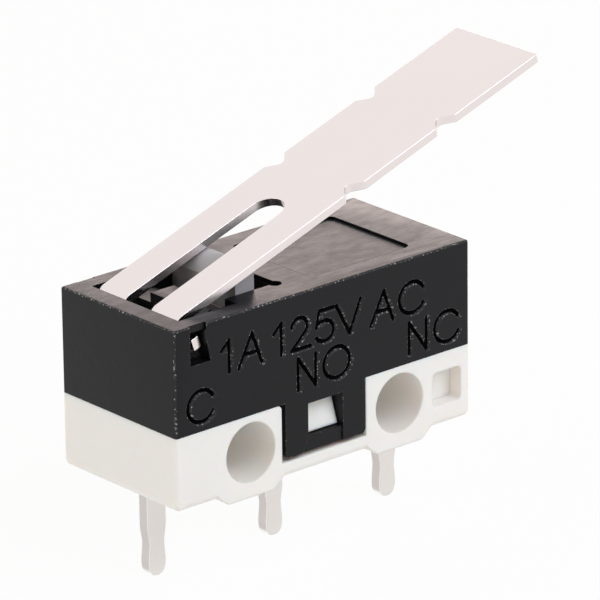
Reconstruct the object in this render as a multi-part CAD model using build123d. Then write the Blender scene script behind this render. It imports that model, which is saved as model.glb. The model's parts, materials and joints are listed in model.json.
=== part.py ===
from build123d import *
import math
import os

# Sub-miniature snap-action switch with a hinge lever, in millimetres.
# The origin is midway between the two mounting holes, on the middle of the body's thickness.
# +X runs from the hinge end to the free end, -Y is the marked face, +Z points to the lever.

# Body
body_length = 12.8
body_thickness = 5.8
top_height = 5.0
split_height = 1.3
floor_depth = 1.3
corner_radius = 0.1
underside_radius = 0.25

# Mounting holes and the rounded bosses under them
hole_end = 3.15
hole_radius = 1.05
boss_radius = 1.85
boss_depth = 1.57

# Cover shell
side_wall = 0.55
end_wall = 0.5
top_wall = 0.6
top_edge_radius = 0.08
cover_fit = 0.05

# Snap tab in the middle of each long side, and the catch in its window
tab_width = 3.48
tab_length = 1.94
tab_corner_radius = 0.18
tab_gap_hinge_side = 0.17
tab_gap_free_side = 0.03
tab_gap_below = 0.13
window_width = 1.52
window_drop = 0.25
relief_slant = 0.25
window_height = 1.18
catch_fit = 0.05
catch_reach = 0.36
tab_relief_depth = 0.06

# Blind core pocket in the base's marked face
pocket_width = 1.27
pocket_height = 1.21
pocket_depth = 0.55
pocket_end_wall = 0.39
pocket_drop = 0.67
pocket_radius = 0.16

# Spigot of the base inside the cover
spigot_height = 0.45
spigot_wall = 0.33

# Plunger opening in the cover's top
opening_start = 2.8
opening_length = 2.53
opening_side = 1.25
opening_bevel = 0.1
opening_relief_radius = 0.23

# Hinge opening, leg channels and ear windows of the cover
hinge_opening_start = 0.78
hinge_opening_length = 1.02
channel_length = 2.42
channel_depth = 0.34
channel_side_fit = 0.2
ear_window_start = 0.66
ear_window_foot = 0.86
ear_window_head = 0.62
ear_window_height = 1.1
ear_window_drop = 0.25
ear_relief = 0.2
lead_in_width = 0.7
lead_in_depth = 0.1

# Shallow panel sunk in the cover's top
panel_gap = 1.24
panel_side = 0.875
panel_end_wall = 1.81
panel_depth = 0.08
panel_radius = 0.25

# Lever: sheet thickness, plan outline and the bent hinge flange
lever_sheet = 0.3
lever_angle = 18.9
lever_side = 0.9
lever_length = 16.7
lever_foot_x = 0.95
fork_width = 1.3
fork_length = 6.4
notch_first = 8.0
notch_pitch = 4.27
notch_width = 0.94
notch_depth = 0.48
notch_root_radius = 0.2
tip_radius = 0.12
bend_radius = 0.1
flange_back = 0.22
ear_height = 0.42
ear_centre_drop = 0.75
ear_inset = 0.25
flange_tail = 0.06

# Plunger: a bar across the body, with shoulders that run in ribs of the cover
plunger_offset = 4.09
plunger_length = 0.8
plunger_fit = 0.05
crown_radius = 1.0
crown_offset = 0.16
lever_gap = 0.04
shoulder_fit = 0.06
shoulder_overhang = 0.45
foot_length = 0.42
foot_height = 0.5
foot_side = 0.35
foot_flat = 0.04
plunger_travel = 0.585
rib_length = 0.3
rib_reach = 0.5
rib_fit = 0.04

# Terminals, stamped from one sheet
leg_end = 1.32
terminal_sheet = 0.4
terminal_fit = 0.02
leg_width = 0.78
leg_waist = 0.62
leg_bulge = 0.68
leg_length = 3.35
shoulder_above_tip = 1.8
waist_above_tip = 1.22
bulge_above_tip = 0.72
shelf_bend_radius = 0.15
lance_relief = 0.1
shelf_gap = 0.51
common_shelf_width = 2.4
common_seat_length = 0.95
anchor_drop = 0.17
anchor_width = 1.2
anchor_notch = 0.12
stake_radius = 0.25
stake_height = 0.25
open_shelf_reach = 0.6
open_shelf_width = 2.0
closed_shelf_width = 2.0
closed_shelf_overhang = 0.7
pillar_side = 0.47
pillar_fit = 0.1

# Contacts
contact_inset = 1.18
contact_radius = 0.6
contact_shank_radius = 0.3
fixed_head = 0.2
moving_head = 0.25
contact_travel = 0.35
contact_fit = 0.01

# Snap blade: a frame with a bowed tongue
blade_sheet = 0.1
blade_width = 2.4
blade_tail = 0.1
blade_nose_radius = 0.62
blade_taper = 1.0
blade_window_width = 1.4
blade_window_start = 1.1
blade_window_end = 1.3
tongue_width = 0.9
tongue_bow = 0.34

# Worked out from the sizes above
half_length = body_length / 2
half_thickness = body_thickness / 2
hinge_end = -half_length
hole_x = half_length - hole_end
leg_x = half_length - leg_end
contact_x = leg_x - contact_inset
opening_end = hinge_end + opening_start + opening_length
cavity_top = top_height - top_wall
cavity_width = body_thickness - 2 * side_wall
cavity_length = body_length - 2 * end_wall
opening_width = body_thickness - 2 * opening_side
shoulder_width = opening_width + 2 * shoulder_overhang
lever_width = body_thickness - 2 * lever_side
panel_width = body_thickness - 2 * panel_side
recess_depth = side_wall + cover_fit
core_face = half_thickness - recess_depth
tab_bottom = split_height - tab_length
ledge_top = tab_bottom - tab_gap_below
window_top = split_height - window_drop
window_bottom = window_top - window_height
terminal_tip = -floor_depth - leg_length
shelf_top = split_height + terminal_sheet
open_contact_top = shelf_top + fixed_head
moving_bottom = open_contact_top + contact_travel + contact_fit
blade_bottom = moving_bottom + moving_head
blade_top = blade_bottom + blade_sheet
anchor_top = blade_bottom - anchor_drop
anchor_notch_top = anchor_top - anchor_notch
moving_top = blade_top + moving_head
spigot_x = half_length - end_wall - cover_fit
deck_x = spigot_x - spigot_wall
deck_y = core_face - spigot_wall
common_left = -deck_x + terminal_fit
lance_half = leg_width / 2 + lance_relief
common_right = -lance_half - shelf_gap
seat_middle = common_left + common_seat_length / 2
closed_contact_bottom = moving_top + contact_fit
closed_shelf_bottom = closed_contact_bottom + fixed_head
plunger_x = hinge_end + plunger_offset
ear_centre_s = -flange_back + lever_sheet / 2

# Places in the lever's own frame are (along the arm, across, above its top face)
lever_frame = Location((hinge_end + lever_foot_x, 0, top_height)) * Location((0, 0, 0), (0, -lever_angle, 0))


def block(x, y, z):
    """A box from three (low, high) pairs."""
    size = Box(x[1] - x[0], y[1] - y[0], z[1] - z[0])
    return Pos((x[0] + x[1]) / 2, (y[0] + y[1]) / 2, (z[0] + z[1]) / 2) * size


def across(outline, low, high):
    """Extrude an outline drawn as (x, z) across the body, from y = low to y = high."""
    return extrude(Plane.XZ.offset(-low) * outline, amount=low - high)


def both_sides(piece):
    """The piece and its mirror image on the other long side."""
    return piece + mirror(piece, about=Plane.XZ)


def upright_edges(piece, x, y):
    """Edges parallel to Z whose middle lies at the given distances from the centre."""
    found = piece.edges().filter_by(Axis.Z)
    return found.filter_by(lambda e: abs(abs(e.center().X) - x) < 1e-3 and abs(abs(e.center().Y) - y) < 1e-3)


def lever_point(along, above):
    """(x, z) of a point given in the lever's own frame."""
    turn = math.radians(lever_angle)
    x = hinge_end + lever_foot_x + along * math.cos(turn) - above * math.sin(turn)
    z = top_height + along * math.sin(turn) + above * math.cos(turn)
    return x, z


pivot_x, pivot_z = lever_point(ear_centre_s, -ear_centre_drop)


def tab_span(extra_hinge=0.0, extra_free=0.0):
    """X range of the snap tab, with room added on its two sides."""
    return -tab_width / 2 - extra_hinge, tab_width / 2 + extra_free


def catch_profile():
    """Wedge of the snap catch as (y, z), sloping out from the core wall to its hooking edge."""
    low = window_bottom + catch_fit
    high = window_top - catch_fit
    root = -core_face + cover_fit
    hook = -core_face - catch_reach
    return Polyline((root, low), (hook, low), (-core_face, high), (root, high), close=True)


def leg_slot(x, width, low, high):
    """Room in the base for a terminal's leg."""
    half = width / 2 + terminal_fit
    deep = terminal_sheet / 2 + terminal_fit
    return block((x - half, x + half), (-deep, deep), (low, high))


def mounting_holes():
    bore = Cylinder(hole_radius, 2 * body_thickness, rotation=(90, 0, 0))
    return [Pos(side * hole_x, 0, 0) * bore for side in (-1, 1)]


def base():
    """White lower half: bored block with bosses, tab recesses, catches, spigot and contact pillar."""
    body = block((-half_length, half_length), (-half_thickness, half_thickness), (-floor_depth, split_height))
    body = fillet(upright_edges(body, half_length, half_thickness), corner_radius)
    body = fillet(body.edges().group_by(Axis.Z)[0], underside_radius)
    for side in (-1, 1):
        boss = Cylinder(boss_radius, body_thickness, rotation=(90, 0, 0))
        cap = block((-boss_radius, boss_radius), (-half_thickness, half_thickness), (-boss_depth, 0))
        body += Pos(side * hole_x, 0, 0) * (boss & cap)
    spigot_top = split_height + spigot_height
    spigot = block((-spigot_x, spigot_x), (-core_face, core_face), (split_height, spigot_top))
    spigot -= block((-deck_x, deck_x), (-deck_y, deck_y), (split_height, spigot_top))
    body += spigot + contact_pillar()
    low, high = tab_span(tab_gap_hinge_side, tab_gap_free_side)
    recess = block((low, high), (-half_thickness, -core_face), (ledge_top, split_height))
    body -= both_sides(recess)
    shoulder = body.edges().filter_by(Axis.Y).filter_by(
        lambda e: abs(e.center().X - low) < 1e-3 and abs(e.center().Z - split_height) < 1e-3)
    body = fillet(shoulder, tab_corner_radius)
    half = window_width / 2 - catch_fit
    catch = extrude(Plane.YZ.offset(-half) * make_face(catch_profile()), amount=2 * half)
    body += both_sides(catch)
    for bore in mounting_holes():
        body -= bore
    body -= core_pocket()
    body -= leg_slot(-leg_x, leg_width, -boss_depth, split_height)
    body -= leg_slot(0, leg_width, -boss_depth, split_height)
    body -= leg_slot(leg_x, leg_width, -boss_depth, closed_shelf_bottom)
    return body


def contact_pillar():
    """Post at the free end that carries the upper contact's terminal."""
    start = leg_x - leg_width / 2 - pillar_fit
    half = deck_y - pillar_side
    return block((start, deck_x), (-half, half), (split_height, closed_shelf_bottom))


def core_pocket():
    """Blind rounded pocket in the marked face near the free end."""
    right = half_length - pocket_end_wall
    top = split_height - pocket_drop
    shape = block((right - pocket_width, right), (-half_thickness, -half_thickness + pocket_depth),
                  (top - pocket_height, top))
    return fillet(shape.edges().filter_by(Axis.Y), pocket_radius)


def cover():
    """Black upper shell with tabs, plunger and hinge openings, ear windows and guide ribs."""
    shell = block((-half_length, half_length), (-half_thickness, half_thickness), (split_height, top_height))
    shell = fillet(upright_edges(shell, half_length, half_thickness), corner_radius)
    shell = fillet(shell.edges().group_by(Axis.Z)[-1], top_edge_radius)
    shell -= block((-cavity_length / 2, cavity_length / 2), (-cavity_width / 2, cavity_width / 2),
                   (split_height, cavity_top))
    shell += both_sides(snap_tab())
    shell += both_sides(guide_ribs())
    shell -= plunger_opening()
    shell -= hinge_opening()
    shell -= both_sides(ear_window())
    shell -= both_sides(ear_pocket())
    shell -= top_panel()
    return shell


def snap_tab():
    """Tab on the marked side, with its catch window and the thinned bar under the window."""
    inner = -half_thickness + side_wall
    low, high = tab_span()
    tab = block((low, high), (-half_thickness, inner), (tab_bottom, split_height))
    lower = tab.edges().filter_by(Axis.Y).group_by(Axis.Z)[0]
    tab = fillet(lower, tab_corner_radius)
    half = window_width / 2
    tab -= block((-half, half), (-half_thickness, inner), (window_bottom, window_top))
    bar = Polyline((-half, window_bottom), (half, window_bottom), (half, tab_bottom),
                   (-half - relief_slant, tab_bottom), close=True)
    tab -= across(make_face(bar), -half_thickness, -half_thickness + tab_relief_depth)
    return tab


def guide_ribs():
    """Two ribs inside the long wall, one each side of the plunger's shoulder."""
    wall = -cavity_width / 2
    half = plunger_length / 2 + shoulder_fit + rib_fit
    low = blade_top + plunger_travel
    rib = Box(rib_length, rib_reach, cavity_top - low, align=(Align.CENTER, Align.MIN, Align.MIN))
    offset = half + rib_length / 2
    return Pos(plunger_x - offset, wall, low) * rib + Pos(plunger_x + offset, wall, low) * rib


def plunger_opening():
    """Rectangular opening with a round relief at each corner and a bevel on its free-end edge."""
    start, stop = hinge_end + opening_start, opening_end
    half = opening_width / 2
    hole = block((start, stop), (-half, half), (cavity_top, top_height))
    for x in (start, stop):
        for y in (-half, half):
            hole += Pos(x, y, (cavity_top + top_height) / 2) * Cylinder(opening_relief_radius, top_wall)
    bevel = Polyline((stop, top_height), (stop + opening_bevel, top_height),
                     (stop, top_height - opening_bevel), close=True)
    return hole + across(make_face(bevel), -half, half)


def hinge_opening():
    """Opening for the lever's bent flange, and the two channels that its legs sink into."""
    start = hinge_end + hinge_opening_start
    inner = fork_width / 2 - channel_side_fit
    outer = lever_width / 2 + channel_side_fit
    hole = block((start, start + hinge_opening_length), (-outer, outer), (cavity_top, top_height))
    channel = block((start, start + channel_length), (-outer, -inner),
                    (top_height - channel_depth, top_height))
    return hole + both_sides(channel)


def ear_window():
    """Window in the long wall for the lever's ear, with a shallow lead-in above it."""
    left = hinge_end + ear_window_start
    right = left + ear_window_head
    head = top_height - ear_window_drop
    foot = head - ear_window_height
    inner = -half_thickness + side_wall
    outline = Polyline((left, foot), (left + ear_window_foot, foot), (right, head), (left, head), close=True)
    window = across(make_face(outline), -half_thickness, inner)
    lead_in = block((left, left + lead_in_width), (-half_thickness, -half_thickness + lead_in_depth),
                    (head, top_height))
    return window + lead_in


def ear_pocket():
    """Relief in the top wall's underside where the ear passes beside the hinge opening."""
    start = hinge_end + hinge_opening_start
    return block((start, start + hinge_opening_length), (-cavity_width / 2, 0),
                 (cavity_top, cavity_top + ear_relief))


def top_panel():
    half = panel_width / 2
    panel = block((opening_end + panel_gap, half_length - panel_end_wall), (-half, half),
                  (top_height - panel_depth, top_height))
    return fillet(panel.edges().filter_by(Axis.Z), panel_radius)


def lever():
    """Forked spring-steel arm whose two legs bend down into ears that turn in the cover's windows."""
    back = -flange_back
    front = back + lever_sheet
    foot = -ear_centre_drop - ear_height / 2 - flange_tail
    outer = bend_radius + lever_sheet
    profile = Polyline((back, foot), (back, 0), (lever_length, 0), (lever_length, -lever_sheet),
                       (front, -lever_sheet), (front, foot), close=True)
    sheet = make_face(profile)
    corner = sheet.vertices()
    outside = corner.filter_by(lambda v: abs(v.X - back) < 1e-6 and abs(v.Y) < 1e-6)
    inside = corner.filter_by(lambda v: abs(v.X - front) < 1e-6 and abs(v.Y + lever_sheet) < 1e-6)
    sheet = fillet(outside, outer)
    sheet = fillet(sheet.vertices().filter_by(
        lambda v: abs(v.X - inside[0].X) < 1e-6 and abs(v.Y - inside[0].Y) < 1e-6), bend_radius)
    half = lever_width / 2
    arm = across(sheet, -half, half)
    arm = fillet(arm.edges().filter_by(Axis.Z).group_by(Axis.X)[-1], tip_radius)
    arm -= fork_slot(foot)
    for along in (notch_first, notch_first + notch_pitch):
        arm -= both_sides(edge_notch(along))
    low = -ear_centre_drop - ear_height / 2
    ear = block((back, front), (-half_thickness + ear_inset, -fork_width / 2), (low, low + ear_height))
    arm += both_sides(ear)
    return lever_frame * arm


def fork_slot(foot):
    """Round-ended slot between the two legs, running out through the flange."""
    half = fork_width / 2
    straight = block((-2 * flange_back, fork_length - half), (-half, half), (foot, 0))
    end = Pos(fork_length - half, 0, foot / 2) * Cylinder(half, -foot)
    return straight + end


def edge_notch(along):
    """V notch in the arm's edge, where the lever can be snapped shorter."""
    half = notch_width / 2
    edge = -lever_width / 2
    root = edge + notch_depth
    outline = make_face(Polyline((along - half, edge), (along, root), (along + half, edge), close=True))
    outline = fillet(outline.vertices().group_by(Axis.Y)[-1], notch_root_radius)
    return Pos(0, 0, -lever_sheet) * extrude(outline, amount=lever_sheet)


def crown_centre():
    """(x, z) of the crown's centre, just clear of the lever's underside."""
    turn = math.radians(lever_angle)
    touch_x = plunger_x + crown_offset
    rise = (touch_x - pivot_x) * math.tan(turn)
    underside = pivot_z + (ear_centre_drop - lever_sheet) / math.cos(turn) + rise
    reach = crown_radius + lever_gap
    return touch_x + reach * math.sin(turn), underside - reach * math.cos(turn)


def plunger():
    """Bar with a crowned top, shoulders under the cover's top wall and a foot on the blade."""
    cx, cz = crown_centre()
    half = plunger_length / 2
    left, right = plunger_x - half, plunger_x + half
    shoulder_top = cavity_top - plunger_fit / 2
    foot_bottom = blade_top + contact_fit
    shoulder_bottom = foot_bottom + foot_height

    def crown(x):
        return cz + math.sqrt(crown_radius ** 2 - (x - cx) ** 2)

    middle = (left + right) / 2
    sides = Polyline((left, crown(left)), (left, shoulder_bottom),
                     (right, shoulder_bottom), (right, crown(right)))
    top = ThreePointArc((right, crown(right)), (middle, crown(middle)), (left, crown(left)))
    half_bar = opening_width / 2 - plunger_fit
    bar = across(make_face(sides + top), -half_bar, half_bar)
    wide = half + shoulder_fit
    body = bar + block((plunger_x - wide, plunger_x + wide), (-shoulder_width / 2, shoulder_width / 2),
                       (shoulder_bottom, shoulder_top))
    foot_half = foot_length / 2
    foot_wide = half_bar - foot_side
    foot = block((plunger_x - foot_half, plunger_x + foot_half), (-foot_wide, foot_wide),
                 (foot_bottom, shoulder_bottom))
    foot = fillet(foot.edges().filter_by(Axis.Y).group_by(Axis.Z)[0], (foot_length - foot_flat) / 2)
    return body + foot


def leg(x, high):
    """Leaf-shaped solder leg in the XZ plane, from its round tip up to z = high."""
    side = leg_width / 2
    tip = terminal_tip
    bulge = tip + bulge_above_tip
    waist = tip + waist_above_tip
    shoulder = tip + shoulder_above_tip
    right = [Line((side, high), (side, shoulder)),
             Spline((side, shoulder), (leg_waist / 2, waist), (leg_bulge / 2, bulge), (0, tip),
                    tangents=[(0, -1), (-1, 0)])]
    half = make_face(right + [Line((0, tip), (0, high)), Line((0, high), (side, high))])
    shape = half + mirror(half, about=Plane.YZ)
    return Pos(x, 0, 0) * across(shape, -terminal_sheet / 2, terminal_sheet / 2)


def lanced_shelf(x_leg, x, width, low):
    """Flat shelf whose leg is lanced from it and bent down about its own edge."""
    half = width / 2
    deep = terminal_sheet / 2
    shelf = block(x, (-half, half), (low, low + terminal_sheet))
    shelf -= block((x_leg - lance_half, x_leg + lance_half), (-half, -deep), (low, low + terminal_sheet))
    joint = block((x_leg - leg_width / 2, x_leg + leg_width / 2), (-deep, deep), (low, low + terminal_sheet))
    top_corner = joint.edges().filter_by(Axis.X).group_by(Axis.Z)[-1].sort_by(Axis.Y)[0]
    gap = block((x_leg - lance_half, x_leg + lance_half), (-deep, deep), (low, low + terminal_sheet))
    return shelf - gap + fillet(top_corner, shelf_bend_radius)


def common_terminal():
    """Leg under the hinge end, a shelf on the base, a folded blade seat and the tongue's anchor."""
    left = common_left
    right = common_right
    half = common_shelf_width / 2
    shelf = lanced_shelf(-leg_x, (left, right), common_shelf_width, split_height)
    seat_low = blade_bottom - terminal_sheet
    riser = block((left, left + terminal_sheet), (terminal_sheet / 2, half), (split_height, blade_bottom))
    seat = block((left, left + common_seat_length), (-half, half), (seat_low, blade_bottom))
    stake = disc(seat_middle, stake_radius, blade_bottom, blade_bottom + stake_height)
    anchor = block((right - terminal_sheet, right), (-anchor_width / 2, anchor_width / 2),
                   (shelf_top, anchor_top))
    notch = block((right - anchor_notch, right), (-half, half),
                  (anchor_notch_top - anchor_notch, anchor_notch_top))
    return shelf + riser + seat + stake + (anchor - notch) + leg(-leg_x, split_height)


def disc(x, radius, low, high):
    """Round disc about an upright axis at x."""
    return Pos(x, 0, (low + high) / 2) * Cylinder(radius, high - low)


def shank(low, high):
    return disc(contact_x, contact_shank_radius, low, high)


def head(low, high):
    return disc(contact_x, contact_radius, low, high)


def normally_open_terminal():
    """Middle leg with a shelf that runs under the moving contact."""
    shelf = lanced_shelf(0, (-lance_half, contact_x + open_shelf_reach), open_shelf_width, split_height)
    return shelf + leg(0, split_height) - shank(split_height, shelf_top)


def normally_closed_terminal():
    """Free-end leg that climbs through the pillar and carries a shelf over the moving contact."""
    right = leg_x + lance_half
    low = closed_shelf_bottom
    shelf = lanced_shelf(leg_x, (contact_x - closed_shelf_overhang, right), closed_shelf_width, low)
    return shelf + leg(leg_x, low) - shank(low, low + terminal_sheet)


def open_contact():
    return head(shelf_top, open_contact_top) + shank(split_height, shelf_top)


def closed_contact():
    top = closed_shelf_bottom + terminal_sheet
    return head(closed_contact_bottom, closed_shelf_bottom) + shank(closed_shelf_bottom, top)


def moving_contact():
    """Double-headed rivet at the blade's free end."""
    low = head(moving_bottom, blade_bottom - contact_fit)
    high = head(blade_top + contact_fit, moving_top)
    return low + high + shank(blade_bottom - contact_fit, blade_top + contact_fit)


def snap_blade():
    """Thin frame fixed on the common terminal, with a bowed tongue that pushes on its anchor."""
    left = common_left - blade_tail
    half = blade_width / 2
    strip = block((left, contact_x - blade_taper), (-half, half), (blade_bottom, blade_top))
    taper = Polyline((contact_x - blade_taper, -half), (contact_x, -blade_nose_radius),
                     (contact_x, blade_nose_radius), (contact_x - blade_taper, half), close=True)
    nose = make_face(taper) + Pos(contact_x, 0) * Circle(blade_nose_radius)
    window = block((left + common_seat_length + blade_window_start, contact_x - blade_window_end),
                   (-blade_window_width / 2, blade_window_width / 2), (blade_bottom, blade_top))
    blade = strip + Pos(0, 0, blade_bottom) * extrude(nose, amount=blade_sheet) - window
    for x, radius in ((seat_middle, stake_radius), (contact_x, contact_shank_radius)):
        blade -= disc(x, radius + contact_fit, blade_bottom, blade_top)
    return blade + tongue()


def tongue():
    """Bowed strip from the window's free end back to the anchor's notch."""
    root_x = contact_x - blade_window_end
    tip_x = common_right - anchor_notch / 2
    root_z = (blade_bottom + blade_top) / 2
    tip_z = anchor_notch_top - anchor_notch / 2
    crest = ((root_x + tip_x) / 2, (root_z + tip_z) / 2 + tongue_bow)
    arc = ThreePointArc((root_x, root_z), crest, (tip_x, tip_z))
    outline = make_face(offset_band(arc, blade_sheet / 2))
    return across(outline, -tongue_width / 2, tongue_width / 2)


def offset_band(arc, half):
    """Closed band of even thickness about an arc."""
    start, end, centre = arc @ 0, arc @ 1, arc.arc_center
    middle = arc @ 0.5

    def shifted(point, by):
        ray = (point - centre).normalized()
        return point + ray * by

    outer = ThreePointArc(shifted(start, half), shifted(middle, half), shifted(end, half))
    inner = ThreePointArc(shifted(end, -half), shifted(middle, -half), shifted(start, -half))
    return [outer, Line(outer @ 1, inner @ 0), inner, Line(inner @ 1, outer @ 0)]


pieces = {
    "base": base,
    "cover": cover,
    "plunger": plunger,
    "lever": lever,
    "common_terminal": common_terminal,
    "normally_open_terminal": normally_open_terminal,
    "normally_closed_terminal": normally_closed_terminal,
    "open_contact": open_contact,
    "closed_contact": closed_contact,
    "moving_contact": moving_contact,
    "snap_blade": snap_blade,
}

os.makedirs("parts", exist_ok=True)
for name, make in pieces.items():
    export_step(make(), f"parts/{name}.step")
print("pivot", round(pivot_x, 4), round(pivot_z, 4))
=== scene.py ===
import json
import math
import bmesh
import bpy
from mathutils import Matrix, Vector
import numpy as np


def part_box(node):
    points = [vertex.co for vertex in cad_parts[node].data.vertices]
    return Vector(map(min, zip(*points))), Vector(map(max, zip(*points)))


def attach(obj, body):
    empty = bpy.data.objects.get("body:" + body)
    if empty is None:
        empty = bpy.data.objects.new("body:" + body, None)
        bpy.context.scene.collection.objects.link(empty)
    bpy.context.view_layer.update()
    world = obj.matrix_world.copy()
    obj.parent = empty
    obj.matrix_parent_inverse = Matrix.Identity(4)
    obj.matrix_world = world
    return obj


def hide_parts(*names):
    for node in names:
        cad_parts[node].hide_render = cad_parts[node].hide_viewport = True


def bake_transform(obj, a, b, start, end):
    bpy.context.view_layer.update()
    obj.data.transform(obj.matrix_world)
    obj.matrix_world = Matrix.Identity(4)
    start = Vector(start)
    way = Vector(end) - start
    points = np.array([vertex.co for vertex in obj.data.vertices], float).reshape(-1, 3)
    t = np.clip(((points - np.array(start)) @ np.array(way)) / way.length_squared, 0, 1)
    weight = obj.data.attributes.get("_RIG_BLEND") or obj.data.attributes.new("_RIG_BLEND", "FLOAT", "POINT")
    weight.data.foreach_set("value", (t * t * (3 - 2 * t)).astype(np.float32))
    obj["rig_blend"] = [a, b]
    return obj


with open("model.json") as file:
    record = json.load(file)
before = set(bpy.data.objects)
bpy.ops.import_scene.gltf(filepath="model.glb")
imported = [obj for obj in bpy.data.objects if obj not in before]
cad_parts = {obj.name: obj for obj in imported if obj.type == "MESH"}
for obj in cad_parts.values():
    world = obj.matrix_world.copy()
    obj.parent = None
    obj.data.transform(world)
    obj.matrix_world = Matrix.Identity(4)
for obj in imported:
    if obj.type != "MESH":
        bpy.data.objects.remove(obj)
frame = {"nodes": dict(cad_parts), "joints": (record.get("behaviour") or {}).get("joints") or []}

bl_info = {
    "name": "Lever micro switch",
    "version": (1, 0, 0),
    "blender": (4, 5, 0),
    "location": "View3D > Sidebar > Micro switch",
    "description": "Finishes a small snap-action switch with a hinge lever on its packed CAD frame",
    "category": "Object",
}

MM = 0.001

# Straight and curved strokes of each sign, for a sign one unit high.
# A stroke is a chain of points, or an arc as (centre, radii, start and end in degrees).
SIGNS = {
    "1": [[(0, 0.72), (0.3, 1)], [(0.3, 1), (0.3, 0)]],
    "2": [((0.32, 0.7), (0.31, 0.3), 172, -38), [(0.56, 0.52), (0, 0)], [(0, 0), (0.75, 0)]],
    "5": [[(0.74, 1), (0.17, 1)], [(0.17, 1), (0.06, 0.5)], ((0.37, 0.33), (0.37, 0.33), 148, -150)],
    "A": [[(0, 0), (0.53, 1)], [(0.53, 1), (0.9, 0)], [(0.2, 0.38), (0.76, 0.38)]],
    "C": [((0.52, 0.5), (0.52, 0.5), 30, 330)],
    "N": [[(0, 0), (0, 1)], [(0, 1), (0.7, 0)], [(0.7, 0), (0.7, 1)]],
    "O": [((0.52, 0.5), (0.52, 0.5), 0, 360)],
    "V": [[(0, 1), (0.52, 0)], [(0.52, 0), (0.96, 1)]],
}

# Each line of signs on the marked face: height of its foot, and where each sign starts, in millimetres
LINES = (
    (3.05, (("1", -4.42), ("A", -3.69), ("1", -2.19), ("2", -1.43), ("5", -0.41), ("V", 0.53),
            ("A", 2.03), ("C", 3.29))),
    (1.63, (("C", -5.87), ("N", -1.16), ("O", -0.05), ("N", 3.72), ("C", 4.85))),
)

# The strokes are cut in short steps, and their width wanders over a slightly longer way.
# Each has a shallow lip to its right and a little lower.
STROKE_STEP = 0.07 * MM
STROKE_WANDER = 0.14 * MM
LIP_OFFSET = (0.065 * MM, 0.0, -0.035 * MM)

# The snap blade: the step between its added edges, the length of its seat, half the plunger's foot, from its
# window's end to the moving contact, half its tongue, and the reach of the tongue's tip into the anchor
BLADE_STEP = 0.2 * MM
SEAT_LENGTH = 1.05 * MM
FOOT_HALF = 0.24 * MM
WINDOW_END = 1.3 * MM
TONGUE_HALF = 0.5 * MM
TIP_REACH = 0.3 * MM

# Each lamp: name, direction from the point that all of them face, side in metres, power in watts and colour
LAMP_AIM = (0.0, 0.0, 2 * MM)
LAMP_DISTANCE = 0.22
LAMPS = (
    ("key_softbox", (0.35, -0.9, 0.9), 0.14, 0.235, "#e2edff"),
    ("side_softbox", (-0.9, 0.35, 0.3), 0.12, 0.09, "#f0f5ff"),
    ("back_softbox", (0.61, 0.71, 0.2), 0.08, 0.095, "#ffe9e3"),
)

# The light of the room on the switch, and the half side of the floor in metres with its own glow, which
# keeps it white around the switch's shadow
ROOM_LIGHT = 0.62
FLOOR_REACH = 0.6
FLOOR_GLOW = 0.93

# The camera: azimuth, elevation and roll in degrees, then its lens, its distance, the height of the point
# that it circles and how far the picture is shifted right and up from there, all in millimetres
CAMERA_TURN = (-40.7533, 20.5624, -0.715)
CAMERA_LENS = 361.435
CAMERA_DISTANCE = 200
CAMERA_HEIGHT = 1.3
CAMERA_SHIFT = (1.0652, 2.2357)


def linear(code):
    """An sRGB hex value as linear red, green, blue and alpha."""
    parts = [int(code[i:i + 2], 16) / 255 for i in (1, 3, 5)]
    return [p / 12.92 if p <= 0.04045 else ((p + 0.055) / 1.055) ** 2.4 for p in parts] + [1.0]


def add(tree, kind, settings=None, **links):
    """Adds a node; settings are its properties and links feed its inputs from a value or a socket."""
    node = tree.nodes.new(kind)
    for name, value in (settings or {}).items():
        setattr(node, name, value)
    for name, value in links.items():
        socket = node.inputs[int(name[1:])] if name[0] == "_" else node.inputs[name.replace("_", " ")]
        if isinstance(value, bpy.types.NodeSocket):
            tree.links.new(value, socket)
        else:
            socket.default_value = value
    return node


def finish_of(name, colour, metallic, roughness, grain, bump, spread=0.0, level=0.5, edge=0.0,
              ior=1.5):
    """Surface with an even colour and a fine grain; grain, bump and edge are in millimetres."""
    material = bpy.data.materials.new(name)
    material.use_nodes = True
    tree = material.node_tree
    tree.nodes.clear()
    place = add(tree, "ShaderNodeTexCoord")
    noise = add(tree, "ShaderNodeTexNoise", Vector=place.outputs["Object"], Scale=1 / (grain * MM),
                Detail=3.0)
    relief = add(tree, "ShaderNodeBump", Height=noise.outputs["Fac"], Distance=bump * MM, Strength=1.0)
    if edge:
        worn = add(tree, "ShaderNodeBevel", {"samples": 6}, Radius=edge * MM)
        tree.links.new(worn.outputs["Normal"], relief.inputs["Normal"])
    shader = add(tree, "ShaderNodeBsdfPrincipled", Base_Color=colour, Metallic=metallic, IOR=ior,
                 Roughness=roughness, Specular_IOR_Level=level, Normal=relief.outputs["Normal"])
    if spread:
        patchy = add(tree, "ShaderNodeTexNoise", Vector=place.outputs["Object"], Scale=1 / (12 * grain * MM))
        vary_gloss(material, patchy.outputs["Fac"], spread)
    add(tree, "ShaderNodeOutputMaterial", Surface=shader.outputs["BSDF"])
    return material


def vary_gloss(material, pattern, spread):
    """Lets the roughness follow a noise pattern, by spread to each side of its even value."""
    tree = material.node_tree
    rough = tree.nodes["Principled BSDF"].inputs["Roughness"]
    even = rough.default_value
    wanders = add(tree, "ShaderNodeMapRange", Value=pattern, From_Min=0.3, From_Max=0.7, To_Min=even - spread,
                  To_Max=even + spread)
    tree.links.new(wanders.outputs["Result"], rough)


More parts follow.
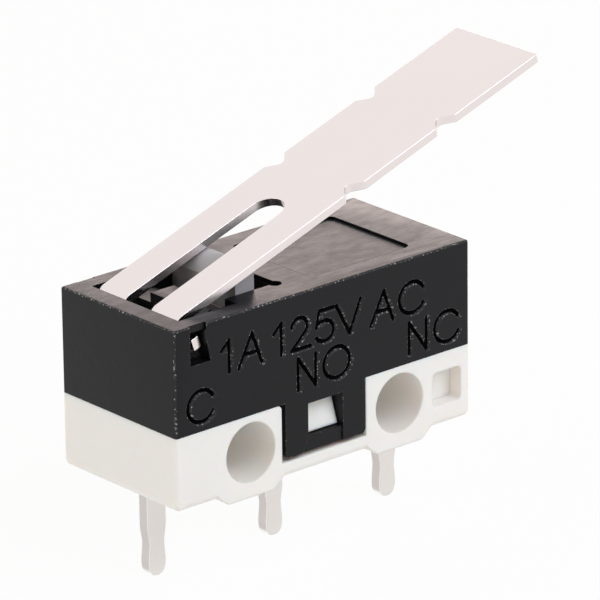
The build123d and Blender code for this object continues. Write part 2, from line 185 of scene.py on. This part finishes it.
def wear_and_shade_edges(material, reach, pale, rounding, grain):
    """Rubs the outer edges pale in specks, and paints shade on the inner ones by taking away their
    reflection.

    reach is the piece's far corner in metres; rounding and grain are in millimetres.
    """
    tree = material.node_tree
    shader = tree.nodes["Principled BSDF"]
    place = add(tree, "ShaderNodeTexCoord")
    rounded = add(tree, "ShaderNodeBevel", {"samples": 6}, Radius=rounding * MM)
    tilt = largest_part(tree, rounded.outputs["Normal"], (0, 0, 0), True)
    # The rim is where the rounded normal leans away from every axis, and the outer part of it lies within
    # 0.07 mm of the piece's long and short sides
    rim = add(tree, "ShaderNodeMapRange", Value=tilt, From_Min=0.98, From_Max=0.9)
    depth = largest_part(tree, place.outputs["Object"], (reach.x, reach.y, 1.0), False)
    outer = add(tree, "ShaderNodeMapRange", Value=depth, From_Min=-0.07 * MM, From_Max=-0.04 * MM)
    specks = add(tree, "ShaderNodeTexNoise", Vector=place.outputs["Object"], Scale=1 / (grain * MM),
                 Detail=2.0)
    bits = add(tree, "ShaderNodeMapRange", Value=specks.outputs["Fac"], From_Min=0.575, From_Max=0.66,
               To_Min=0.05)
    rubbed = add(tree, "ShaderNodeMath", {"operation": "MULTIPLY"}, _0=rim.outputs["Result"],
                 _1=bits.outputs["Result"])
    share = add(tree, "ShaderNodeMath", {"operation": "MULTIPLY"}, _0=rubbed.outputs[0],
                _1=outer.outputs["Result"])
    worn = add(tree, "ShaderNodeMix", {"data_type": "RGBA"}, Factor=share.outputs[0],
               _6=list(shader.inputs["Base Color"].default_value), _7=pale)
    tree.links.new(worn.outputs[2], shader.inputs["Base Color"])
    # Painted shade: the inner rounded edges, such as those of the grooves and openings, lose their reflection
    # so that they read dark
    inner = add(tree, "ShaderNodeMath", {"operation": "SUBTRACT"}, _0=rim.outputs["Result"],
                _1=outer.outputs["Result"])
    gloss = shader.inputs["Specular IOR Level"]
    painted_shade = add(tree, "ShaderNodeMapRange", Value=inner.outputs[0], From_Max=0.8, To_Min=gloss.default_value,
               To_Max=0.0)
    tree.links.new(painted_shade.outputs["Result"], gloss)


def paint_shade_and_highlight(material, painted_shade, bright, rounding):
    """Paints shade in grey on a stamped sheet's sheared faces that look along X, and a painted highlight
    along the rounded edges beside them.
    """
    tree = material.node_tree
    shader = tree.nodes["Principled BSDF"]
    rounded = add(tree, "ShaderNodeBevel", {"samples": 6}, Radius=rounding * MM)
    size = add(tree, "ShaderNodeVectorMath", {"operation": "ABSOLUTE"}, _0=rounded.outputs["Normal"])
    parts = add(tree, "ShaderNodeSeparateXYZ", Vector=size.outputs["Vector"])
    # Painted highlight: a bright line along the rounded edges between the faces that look along X and the
    # others
    painted_edge_highlight = add(tree, "ShaderNodeMapRange", Value=parts.outputs["X"], From_Min=0.2, From_Max=0.6)
    # Painted shade: the faces that look along X take a darker grey
    side = add(tree, "ShaderNodeMapRange", Value=parts.outputs["X"], From_Min=0.85, From_Max=0.98)
    edge = add(tree, "ShaderNodeMix", {"data_type": "RGBA"}, Factor=painted_edge_highlight.outputs["Result"],
               _6=list(shader.inputs["Base Color"].default_value), _7=bright)
    painted_side_shade = add(tree, "ShaderNodeMix", {"data_type": "RGBA"}, Factor=side.outputs["Result"],
                  _6=edge.outputs[2], _7=painted_shade)
    tree.links.new(painted_side_shade.outputs[2], shader.inputs["Base Color"])


def largest_part(tree, vector, less, upright):
    """The largest of a vector's unsigned parts after a subtraction; upright counts Z as well."""
    size = add(tree, "ShaderNodeVectorMath", {"operation": "ABSOLUTE"}, _0=vector)
    left = add(tree, "ShaderNodeVectorMath", {"operation": "SUBTRACT"}, _0=size.outputs["Vector"], _1=less)
    parts = add(tree, "ShaderNodeSeparateXYZ", Vector=left.outputs["Vector"])
    most = add(tree, "ShaderNodeMath", {"operation": "MAXIMUM"}, _0=parts.outputs["X"],
               _1=parts.outputs["Y"])
    if upright:
        most = add(tree, "ShaderNodeMath", {"operation": "MAXIMUM"}, _0=most.outputs[0],
                   _1=parts.outputs["Z"])
    return most.outputs[0]


def streak_gloss(material, spread, length, width):
    """Uneven gloss in streaks along X on a moulding; length and width are in millimetres."""
    tree = material.node_tree
    place = add(tree, "ShaderNodeTexCoord")
    drawn = add(tree, "ShaderNodeMapping", Vector=place.outputs["Object"],
                Scale=(1 / (length * MM), 1 / (width * MM), 1 / (width * MM)))
    bands = add(tree, "ShaderNodeTexNoise", Vector=drawn.outputs["Vector"], Scale=1.0, Detail=4.0,
                Roughness=0.6)
    vary_gloss(material, bands.outputs["Fac"], spread)


def let_light_in(material, tint, depth):
    """Lets light into a translucent moulding and out again; depth is in millimetres."""
    shader = material.node_tree.nodes["Principled BSDF"]
    shader.inputs["Subsurface Weight"].default_value = 0.5
    shader.inputs["Subsurface Radius"].default_value = tint
    shader.inputs["Subsurface Scale"].default_value = depth * MM


def coat(obj, material):
    """Gives the whole piece one material."""
    obj.data.materials.clear()
    obj.data.materials.append(material)
    for face in obj.data.polygons:
        face.material_index = 0


def joined_copy(node, name):
    """A copy of a CAD node's mesh with its triangles merged and its flat faces made whole."""
    mesh = frame["nodes"][node].data.copy()
    mesh.name = name
    shape = bmesh.new()
    shape.from_mesh(mesh)
    bmesh.ops.remove_doubles(shape, verts=shape.verts, dist=1e-7)
    bmesh.ops.dissolve_limit(shape, angle_limit=math.radians(0.5), verts=shape.verts, edges=shape.edges)
    shape.to_mesh(mesh)
    shape.free()
    if "custom_normal" in mesh.attributes:
        mesh.attributes.remove(mesh.attributes["custom_normal"])
    obj = bpy.data.objects.new(name, mesh)
    bpy.context.scene.collection.objects.link(obj)
    return obj


def baked(obj, name):
    """The evaluated object as a plain mesh object; the first one is removed."""
    seen = obj.evaluated_get(bpy.context.evaluated_depsgraph_get())
    mesh = bpy.data.meshes.new_from_object(seen)
    mesh.name = name
    fresh = bpy.data.objects.new(name, mesh)
    bpy.context.scene.collection.objects.link(fresh)
    bpy.data.objects.remove(obj)
    return fresh


def soften(obj, angle=30):
    """Smooth shading up to an angle, so that flat faces stay flat."""
    obj.data.shade_smooth()
    obj.data.set_sharp_from_angle(angle=math.radians(angle))


def set_input(modifier, name, value):
    """Sets a node tree's input by its socket's identifier."""
    for item in modifier.node_group.interface.items_tree:
        if item.item_type == "SOCKET" and item.in_out == "INPUT" and item.name == name:
            modifier[item.identifier] = value


def groove_tree():
    """Sweeps a narrow deep tool along each stroke, and a wide shallow one beside it for the lip."""
    tree = bpy.data.node_groups.new("groove_along_strokes", "GeometryNodeTree")
    face = tree.interface
    face.new_socket("Geometry", in_out="INPUT", socket_type="NodeSocketGeometry")
    for name in ("Half width", "Depth", "Lip half width", "Lip depth", "Face"):
        face.new_socket(name, in_out="INPUT", socket_type="NodeSocketFloat")
    face.new_socket("Lip offset", in_out="INPUT", socket_type="NodeSocketVector")
    face.new_socket("Material", in_out="INPUT", socket_type="NodeSocketMaterial")
    face.new_socket("Geometry", in_out="OUTPUT", socket_type="NodeSocketGeometry")
    given = add(tree, "NodeGroupInput")
    fine = add(tree, "GeometryNodeResampleCurve", {"mode": "LENGTH"}, Curve=given.outputs["Geometry"],
               Length=STROKE_STEP)
    rough = add(tree, "ShaderNodeTexNoise", Scale=1 / STROKE_WANDER, Detail=2.0)
    thick = add(tree, "ShaderNodeMapRange", Value=rough.outputs["Fac"], From_Min=0.3, From_Max=0.7,
                To_Min=0.65, To_Max=1.35)
    uneven = add(tree, "GeometryNodeSetCurveRadius", Curve=fine.outputs["Curve"],
                 Radius=thick.outputs["Result"])
    flat = add(tree, "ShaderNodeCombineXYZ", Y=given.outputs["Face"])
    aside = add(tree, "ShaderNodeVectorMath", {"operation": "ADD"}, _0=flat.outputs[0],
                _1=given.outputs["Lip offset"])
    both = add(tree, "GeometryNodeJoinGeometry")
    for width, depth, stand in (("Half width", "Depth", flat.outputs[0]),
                                ("Lip half width", "Lip depth", aside.outputs["Vector"])):
        half = given.outputs[width]
        tool = add(tree, "GeometryNodeCurvePrimitiveCircle", Radius=half, Resolution=8)
        swept = add(tree, "GeometryNodeCurveToMesh", Curve=uneven.outputs["Curve"], Fill_Caps=True)
        tree.links.new(tool.outputs["Curve"], swept.inputs["Profile Curve"])
        ends = add(tree, "GeometryNodeCurveEndpointSelection")
        ball = add(tree, "GeometryNodeMeshUVSphere", Segments=10, Rings=6, Radius=half)
        tips = add(tree, "GeometryNodeInstanceOnPoints", Points=uneven.outputs["Curve"],
                   Selection=ends.outputs["Selection"], Instance=ball.outputs["Mesh"])
        whole = add(tree, "GeometryNodeJoinGeometry")
        tree.links.new(swept.outputs["Mesh"], whole.inputs["Geometry"])
        tree.links.new(tips.outputs["Instances"], whole.inputs["Geometry"])
        solid = add(tree, "GeometryNodeRealizeInstances", Geometry=whole.outputs["Geometry"])
        ratio = add(tree, "ShaderNodeMath", {"operation": "DIVIDE"}, _0=given.outputs[depth], _1=half)
        deep = add(tree, "ShaderNodeCombineXYZ", X=1.0, Y=ratio.outputs[0], Z=1.0)
        placed = add(tree, "GeometryNodeTransform", Geometry=solid.outputs["Geometry"], Translation=stand,
                     Scale=deep.outputs[0])
        tree.links.new(placed.outputs["Geometry"], both.inputs["Geometry"])
    done = add(tree, "GeometryNodeRealizeInstances", Geometry=both.outputs["Geometry"])
    named = add(tree, "GeometryNodeSetMaterial", Geometry=done.outputs["Geometry"],
                Material=given.outputs["Material"])
    add(tree, "NodeGroupOutput", Geometry=named.outputs["Geometry"])
    return tree


def stroke_points(stroke):
    """Points of one stroke of a sign one unit high."""
    if isinstance(stroke, list):
        return stroke
    (cx, cy), (rx, ry), start, end = stroke
    steps = max(8, round(abs(end - start) / 15))
    turns = [math.radians(start + (end - start) * i / steps) for i in range(steps + 1)]
    return [(cx + rx * math.cos(t), cy + ry * math.sin(t)) for t in turns]


def sign_strokes(height):
    """Curve object with every stroke of the marks, standing in the plane y = 0."""
    curve = bpy.data.curves.new("mark_strokes", "CURVE")
    curve.dimensions = "3D"
    for foot, signs in LINES:
        for sign, start in signs:
            for stroke in SIGNS[sign]:
                points = stroke_points(stroke)
                ring = math.dist(points[0], points[-1]) < 1e-6
                spline = curve.splines.new("POLY")
                spline.points.add(len(points) - 1 - ring)
                spline.use_cyclic_u = ring
                for place, (x, z) in zip(spline.points, points):
                    place.co = (start * MM + x * height, 0, foot * MM + z * height, 1)
    obj = bpy.data.objects.new("mark_strokes", curve)
    bpy.context.scene.collection.objects.link(obj)
    return obj


class SwitchSizes(bpy.types.PropertyGroup):
    """Sizes of the marks and of the lever's edges"""
    sign_height: bpy.props.FloatProperty(
        name="Sign height", description="Height of the engraved signs",
        default=1.09 * MM, unit="LENGTH", precision=5)
    groove_width: bpy.props.FloatProperty(
        name="Groove width", description="Width of the engraved strokes",
        default=0.165 * MM, unit="LENGTH", precision=5)
    groove_depth: bpy.props.FloatProperty(
        name="Groove depth", description="Depth of the engraved strokes",
        default=0.18 * MM, unit="LENGTH", precision=5)
    lip_width: bpy.props.FloatProperty(
        name="Lip width", description="Width of the shallow lip beside a stroke",
        default=0.18 * MM, unit="LENGTH", precision=5)
    lip_depth: bpy.props.FloatProperty(
        name="Lip depth", description="Depth of the shallow lip beside a stroke",
        default=0.035 * MM, unit="LENGTH", precision=6)
    edge: bpy.props.FloatProperty(
        name="Sheet edge", description="Rounding of the lever's sheared edges",
        default=0.015 * MM, unit="LENGTH", precision=6)


class SwitchColours(bpy.types.PropertyGroup):
    """Colour of each material"""
    cover: bpy.props.FloatVectorProperty(
        name="Cover", description="Black moulding", subtype="COLOR", size=4, default=linear("#0f0f12"))
    rubbed: bpy.props.FloatVectorProperty(
        name="Rubbed edges", description="Specks where the black moulding is rubbed", subtype="COLOR", size=4,
        default=linear("#a39f9d"))
    base: bpy.props.FloatVectorProperty(
        name="Base", description="White moulding", subtype="COLOR", size=4, default=linear("#f4f0ea"))
    plunger: bpy.props.FloatVectorProperty(
        name="Plunger", description="Grey moulding", subtype="COLOR", size=4, default=linear("#a9a5a6"))
    lever: bpy.props.FloatVectorProperty(
        name="Lever", description="Bright rolled sheet", subtype="COLOR", size=4, default=linear("#ebe2e0"))
    terminal: bpy.props.FloatVectorProperty(
        name="Terminals", description="Tin plating", subtype="COLOR", size=4, default=linear("#e5e0dc"))
    # Painted shade on the terminals' sheared sides
    painted_side_shade: bpy.props.FloatVectorProperty(
        name="Sheared sides", description="Sheared sides of the terminals", subtype="COLOR", size=4,
        default=linear("#cfc9c5"))
    # Painted highlight along the terminals' edges
    painted_edge_highlight: bpy.props.FloatVectorProperty(
        name="Burr", description="Bright burr along the terminals' edges", subtype="COLOR", size=4,
        default=linear("#fdfbf8"))
    contact: bpy.props.FloatVectorProperty(
        name="Contacts", description="Silver", subtype="COLOR", size=4, default=linear("#f0efec"))
    blade: bpy.props.FloatVectorProperty(
        name="Snap blade", description="Rolled copper alloy", subtype="COLOR", size=4,
        default=linear("#e2bb98"))


class SWITCH_OT_cover(bpy.types.Operator):
    """Cuts the marks into the cover's marked face"""
    bl_idname = "micro_switch.cover"
    bl_label = "Engraved cover"

    def execute(self, context):
        sizes, colours = context.scene.switch_sizes, context.scene.switch_colours
        # Black polyester, moulded in a spark-eroded tool: dark from the front and grey at a glancing angle.
        # The real grain is about 0.02 mm, and is drawn at 0.09 mm so that it shows.
        black = finish_of("moulded_black_polyester", colours.cover, metallic=0.0, roughness=0.4, grain=0.09,
                          bump=0.004, level=0.17, ior=1.57)
        # Pale specks of wear on the outer edges, and painted shade on the inner ones
        wear_and_shade_edges(black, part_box("cover")[1], colours.rubbed, rounding=0.05, grain=0.09)
        streak_gloss(black, spread=0.05, length=0.8, width=0.3)
        strokes = sign_strokes(sizes.sign_height)
        sweep = strokes.modifiers.new("Grooves", "NODES")
        sweep.node_group = groove_tree()
        set_input(sweep, "Half width", sizes.groove_width / 2)
        set_input(sweep, "Depth", sizes.groove_depth)
        set_input(sweep, "Lip half width", sizes.lip_width / 2)
        set_input(sweep, "Lip depth", sizes.lip_depth)
        set_input(sweep, "Lip offset", LIP_OFFSET)
        set_input(sweep, "Face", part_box("cover")[0].y)
        set_input(sweep, "Material", black)
        tool = baked(strokes, "groove_tool")
        cover = joined_copy("cover", "cover_marked")
        cut = cover.modifiers.new("Marks", "BOOLEAN")
        cut.operation = "DIFFERENCE"
        cut.solver = "EXACT"
        cut.use_self = True
        cut.object = tool
        cover = baked(cover, "engraved_cover")
        bpy.data.objects.remove(tool)
        soften(cover)
        coat(cover, black)
        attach(cover, "housing")
        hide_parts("cover")
        return {"FINISHED"}


class SWITCH_OT_mouldings(bpy.types.Operator):
    """Finishes the white base and the grey plunger"""
    bl_idname = "micro_switch.mouldings"
    bl_label = "Base and plunger"

    def execute(self, context):
        colours = context.scene.switch_colours
        # White polyester, moulded: satin, soft at its edges and slightly warm where it shades itself.
        # Its grain of about 0.02 mm is drawn at 0.12 mm so that it shows.
        white = finish_of("moulded_white_polyester", colours.base, metallic=0.0, roughness=0.45, grain=0.12,
                          bump=0.002, level=0.42, edge=0.1, ior=1.57)
        let_light_in(white, tint=(1.0, 0.62, 0.36), depth=0.3)
        # Grey acetal, moulded: smooth and a little waxy, with its grain drawn at 0.1 mm as well
        grey = finish_of("moulded_grey_acetal", colours.plunger, metallic=0.0, roughness=0.38, grain=0.1,
                         bump=0.002, ior=1.48)
        coat(frame["nodes"]["base"], white)
        coat(frame["nodes"]["plunger"], grey)
        return {"FINISHED"}


class SWITCH_OT_lever(bpy.types.Operator):
    """Rounds the lever's sheared edges and gives it its rolled finish"""
    bl_idname = "micro_switch.lever"
    bl_label = "Spring lever"

    def execute(self, context):
        # Bright rolled stainless strip: a soft mirror with faint marks of the rolls, drawn 0.35 mm apart
        # although the real ones are finer
        steel = finish_of("rolled_stainless_strip", context.scene.switch_colours.lever, metallic=1.0,
                          roughness=0.22, grain=0.35, bump=0.001, spread=0.03)
        lever = joined_copy("lever", "lever_edges")
        rounding = lever.modifiers.new("Edges", "BEVEL")
        rounding.width = context.scene.switch_sizes.edge
        rounding.segments = 2
        rounding.limit_method = "ANGLE"
        rounding.angle_limit = math.radians(40)
        rounding.harden_normals = True
        soften(lever)
        lever = baked(lever, "spring_lever")
        coat(lever, steel)
        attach(lever, "lever_arm")
        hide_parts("lever")
        return {"FINISHED"}


class SWITCH_OT_metalwork(bpy.types.Operator):
    """Finishes the terminals and the contacts"""
    bl_idname = "micro_switch.metalwork"
    bl_label = "Terminals and contacts"

    def execute(self, context):
        colours = context.scene.switch_colours
        # Tin-plated brass, stamped: pale and dull with a faint mottle, with painted shade in grey on its
        # sheared sides and a thin painted highlight along their edges
        tin = finish_of("tin_plated_brass", colours.terminal, metallic=1.0, roughness=0.38, grain=0.2,
                        bump=0.003, spread=0.06, edge=0.04)
        # Painted shade on the sheared sides and a painted highlight along their edges
        paint_shade_and_highlight(tin, colours.painted_side_shade, colours.painted_edge_highlight, rounding=0.05)
        # Silver, headed as rivets: bright, and smoothed by the heading tool
        silver = finish_of("silver_contact", colours.contact, metallic=1.0, roughness=0.25, grain=0.1,
                           bump=0.001)
        for node in ("common_terminal", "normally_open_terminal", "normally_closed_terminal"):
            coat(frame["nodes"][node], tin)
        for node in ("open_contact", "closed_contact", "moving_contact"):
            coat(frame["nodes"][node], silver)
        return {"FINISHED"}


def cut_across(obj, step):
    """Adds a loop of edges at each step along X, so that a flat sheet can bend."""
    shape = bmesh.new()
    shape.from_mesh(obj.data)
    places = [v.co.x for v in shape.verts]
    low, high = min(places), max(places)
    for i in range(1, int((high - low) / step)):
        everything = shape.verts[:] + shape.edges[:] + shape.faces[:]
        bmesh.ops.bisect_plane(shape, geom=everything, dist=1e-8, plane_co=(low + i * step, 0, 0),
                               plane_no=(1, 0, 0))
    shape.to_mesh(obj.data)
    shape.free()


def eased(x, start, end):
    """0 before start, 1 after end and a smooth turn between them."""
    t = min(max((x - start) / (end - start), 0.0), 1.0)
    return t * t * (3 - 2 * t)


class SWITCH_OT_snap_blade(bpy.types.Operator):
    """Bends the snap blade between its seat, the plunger's foot and the moving contact"""
    bl_idname = "micro_switch.snap_blade"
    bl_label = "Snap blade"

    def execute(self, context):
        # Rolled copper alloy: warm, smooth and bright, as thin spring strip leaves the rolls
        bronze = finish_of("rolled_copper_alloy", context.scene.switch_colours.blade, metallic=1.0,
                           roughness=0.3, grain=0.2, bump=0.001)
        blade = joined_copy("snap_blade", "bending_snap_blade")
        cut_across(blade, BLADE_STEP)
        soften(blade)
        coat(blade, bronze)
        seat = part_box("snap_blade")[0].x + SEAT_LENGTH
        foot = sum(corner.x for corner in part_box("plunger")) / 2
        root = sum(corner.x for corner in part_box("moving_contact")) / 2 - WINDOW_END
        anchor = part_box("common_terminal")[1].x
        travel = {joint["name"]: joint.get("range_m", (0, 0))[1] for joint in frame["joints"]}
        free = travel["contact_slide"] / travel["plunger_slide"]
        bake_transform(blade, "housing", "push_bar", (seat, 0, 0), (foot, 0, 0))
        # The bend above ends at the foot. From there the frame rises again to the contact's own travel,
        # and the tongue goes from that travel to none at the anchor that holds its tip.
        share = blade.data.attributes["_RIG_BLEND"]
        for point, vertex in zip(share.data, blade.data.vertices):
            x, y = vertex.co.x, vertex.co.y
            if anchor - TIP_REACH < x < root and abs(y) < TONGUE_HALF:
                point.value = free * eased(x, anchor, root)
            else:
                down = eased(x, seat, foot - FOOT_HALF)
                point.value = down - (1 - free) * eased(x, foot + FOOT_HALF, root)
        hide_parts("snap_blade")
        return {"FINISHED"}


def lamp(name, towards, size, power, colour, at):
    """Square soft lamp that stands in a given direction from a point and faces it."""
    data = bpy.data.lights.new(name, "AREA")
    data.color = linear(colour)[:3]
    data.shape = "SQUARE"
    data.size = size
    data.energy = power
    obj = bpy.data.objects.new(name, data)
    bpy.context.scene.collection.objects.link(obj)
    obj.location = at + Vector(towards).normalized() * LAMP_DISTANCE
    obj.rotation_euler = (at - obj.location).to_track_quat("-Z", "Y").to_euler()
    obj.visible_camera = False


class SWITCH_OT_stage(bpy.types.Operator):
    """Builds the pale floor, the soft studio light and the camera"""
    bl_idname = "micro_switch.stage"
    bl_label = "Stage"

    def execute(self, context):
        scene = context.scene
        scene.view_settings.view_transform = "Standard"
        self.build_world(scene)
        self.build_floor(scene)
        for name, towards, size, power, colour in LAMPS:
            lamp(name, towards, size, power, colour, at=Vector(LAMP_AIM))
        self.build_camera(scene)
        return {"FINISHED"}

    def build_world(self, scene):
        world = bpy.data.worlds.new("studio")
        scene.world = world
        world.use_nodes = True
        tree = world.node_tree
        tree.nodes.clear()
        seen = white_where_seen(tree)
        level = add(tree, "ShaderNodeMapRange", Value=seen, To_Min=ROOM_LIGHT)
        tone = add(tree, "ShaderNodeMix", {"data_type": "RGBA"}, Factor=seen, _6=linear("#fffbf4"),
                   _7=(1, 1, 1, 1))
        sky = add(tree, "ShaderNodeBackground", Color=tone.outputs[2], Strength=level.outputs["Result"])
        add(tree, "ShaderNodeOutputWorld", Surface=sky.outputs["Background"])

    def build_floor(self, scene):
        low = min(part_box(node)[0].z for node in frame["nodes"])
        mesh = bpy.data.meshes.new("floor")
        corners = [(x * FLOOR_REACH, y * FLOOR_REACH, low) for x, y in ((-1, -1), (1, -1), (1, 1), (-1, 1))]
        mesh.from_pydata(corners, [], [(0, 1, 2, 3)])
        floor = bpy.data.objects.new("floor", mesh)
        scene.collection.objects.link(floor)
        material = bpy.data.materials.new("white_paper")
        material.use_nodes = True
        tree = material.node_tree
        tree.nodes.clear()
        seen = white_where_seen(tree)
        share = add(tree, "ShaderNodeMath", {"operation": "MULTIPLY"}, _0=seen, _1=FLOOR_GLOW)
        paper = add(tree, "ShaderNodeBsdfDiffuse", Color=linear("#f4f4f3"))
        glow = add(tree, "ShaderNodeEmission", Color=(1, 1, 1, 1), Strength=1.0)
        mixed = add(tree, "ShaderNodeMixShader", _0=share.outputs[0], _1=paper.outputs["BSDF"],
                    _2=glow.outputs["Emission"])
        add(tree, "ShaderNodeOutputMaterial", Surface=mixed.outputs["Shader"])
        coat(floor, material)

    def build_camera(self, scene):
        azimuth, elevation, roll = (math.radians(a) for a in CAMERA_TURN)
        back = Vector((math.sin(azimuth) * math.cos(elevation), -math.cos(azimuth) * math.cos(elevation),
                       math.sin(elevation)))
        level = Vector((math.cos(azimuth), math.sin(azimuth), 0))
        upright = back.cross(level)
        right = level * math.cos(roll) + upright * math.sin(roll)
        up = upright * math.cos(roll) - level * math.sin(roll)
        aside, above = CAMERA_SHIFT
        target = Vector((0, 0, CAMERA_HEIGHT * MM)) + right * aside * MM + up * above * MM
        data = bpy.data.cameras.new("camera")
        data.sensor_width = 36
        data.lens = CAMERA_LENS
        data.clip_start = 0.01
        data.clip_end = 10
        camera = bpy.data.objects.new("camera", data)
        scene.collection.objects.link(camera)
        camera.matrix_world = matrix_of(right, up, back, target + back * CAMERA_DISTANCE * MM)
        scene.camera = camera


def matrix_of(right, up, back, place):
    """Placement with the given axes as its columns."""
    turn = Matrix((right, up, back)).transposed()
    return Matrix.Translation(place) @ turn.to_4x4()


def white_where_seen(tree):
    """1 for rays that come from the camera or a reflection, 0 for those that only light."""
    path = add(tree, "ShaderNodeLightPath")
    first = add(tree, "ShaderNodeMath", {"operation": "MAXIMUM"}, _0=path.outputs["Is Camera Ray"],
                _1=path.outputs["Is Glossy Ray"])
    both = add(tree, "ShaderNodeMath", {"operation": "MAXIMUM"}, _0=first.outputs[0],
               _1=path.outputs["Is Transmission Ray"])
    return both.outputs[0]


class SWITCH_PT_panel(bpy.types.Panel):
    """Lists the steps and the sizes"""
    bl_idname = "SWITCH_PT_panel"
    bl_label = "Micro switch"
    bl_space_type = "VIEW_3D"
    bl_region_type = "UI"
    bl_category = "Micro switch"

    def draw(self, context):
        for step in STEPS:
            self.layout.operator(step.bl_idname)
        for group in (context.scene.switch_sizes, context.scene.switch_colours):
            for name in group.bl_rna.properties.keys():
                if name not in ("rna_type", "name"):
                    self.layout.prop(group, name)


STEPS = (SWITCH_OT_cover, SWITCH_OT_mouldings, SWITCH_OT_lever, SWITCH_OT_metalwork,
         SWITCH_OT_snap_blade, SWITCH_OT_stage)
CLASSES = (SwitchSizes, SwitchColours, *STEPS, SWITCH_PT_panel)


def register():
    for item in CLASSES:
        bpy.utils.register_class(item)
    bpy.types.Scene.switch_sizes = bpy.props.PointerProperty(type=SwitchSizes)
    bpy.types.Scene.switch_colours = bpy.props.PointerProperty(type=SwitchColours)


def unregister():
    del bpy.types.Scene.switch_colours
    del bpy.types.Scene.switch_sizes
    for item in reversed(CLASSES):
        bpy.utils.unregister_class(item)


def main():
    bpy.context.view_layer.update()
    register()
    bpy.ops.micro_switch.cover()
    bpy.ops.micro_switch.mouldings()
    bpy.ops.micro_switch.lever()
    bpy.ops.micro_switch.metalwork()
    bpy.ops.micro_switch.snap_blade()
    bpy.ops.micro_switch.stage()


if __name__ == "__main__":
    main()
